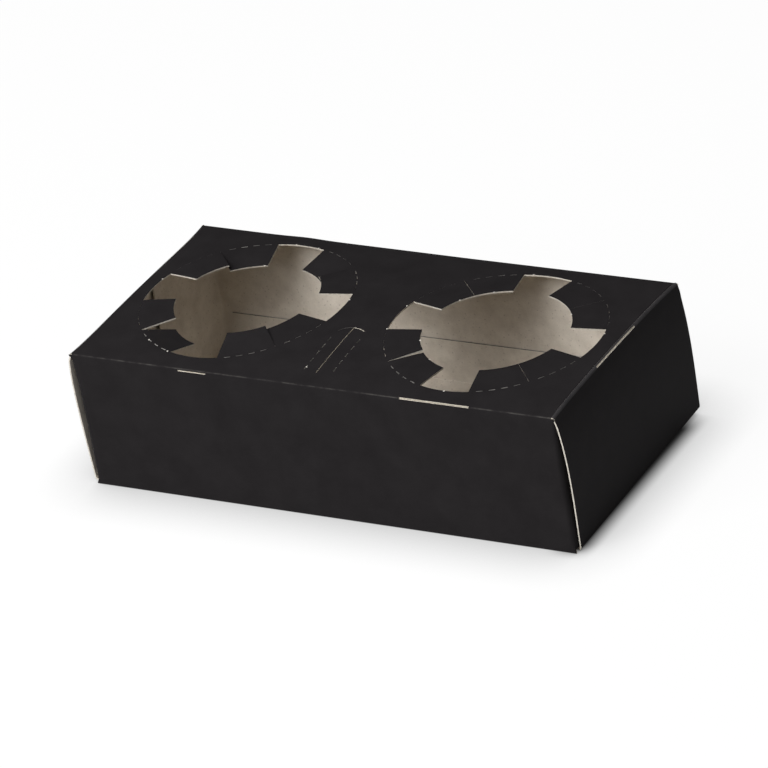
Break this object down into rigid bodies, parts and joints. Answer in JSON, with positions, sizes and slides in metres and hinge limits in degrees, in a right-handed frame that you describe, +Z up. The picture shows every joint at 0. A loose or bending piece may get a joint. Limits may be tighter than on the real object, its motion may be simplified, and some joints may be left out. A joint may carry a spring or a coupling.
{
  "type": "cup carrier",
  "caption": "Shallow folded carton that carries cups in two petal-ringed openings in its top, with tuck-in end flaps.",
  "frame": {"origin": "centre of the underside", "axes": "+X along the long walls, towards the end with the right end flap; +Y from the front wall, beside the finger slot, to the back wall; +Z up"},
  "size_m": [0.2254, 0.105, 0.0626],
  "materials": {
    "coated_board": "satin"
  },
  "bodies": {
    "carton": {"carton": "coated_board"},
    "left_end_flap": {"left_end_flap": "coated_board"},
    "right_end_flap": {"right_end_flap": "coated_board"}
  },
  "joints": [
    {"name": "left_end_hinge", "type": "hinge", "parent": "carton", "child": "left_end_flap", "pos_m": [-0.11, 0, 0.06], "axis": [0, 1, 0], "range_deg": [0, 120]},
    {"name": "right_end_hinge", "type": "hinge", "parent": "carton", "child": "right_end_flap", "pos_m": [0.11, 0, 0.06], "axis": [0, -1, 0], "range_deg": [0, 120]}
  ]
}
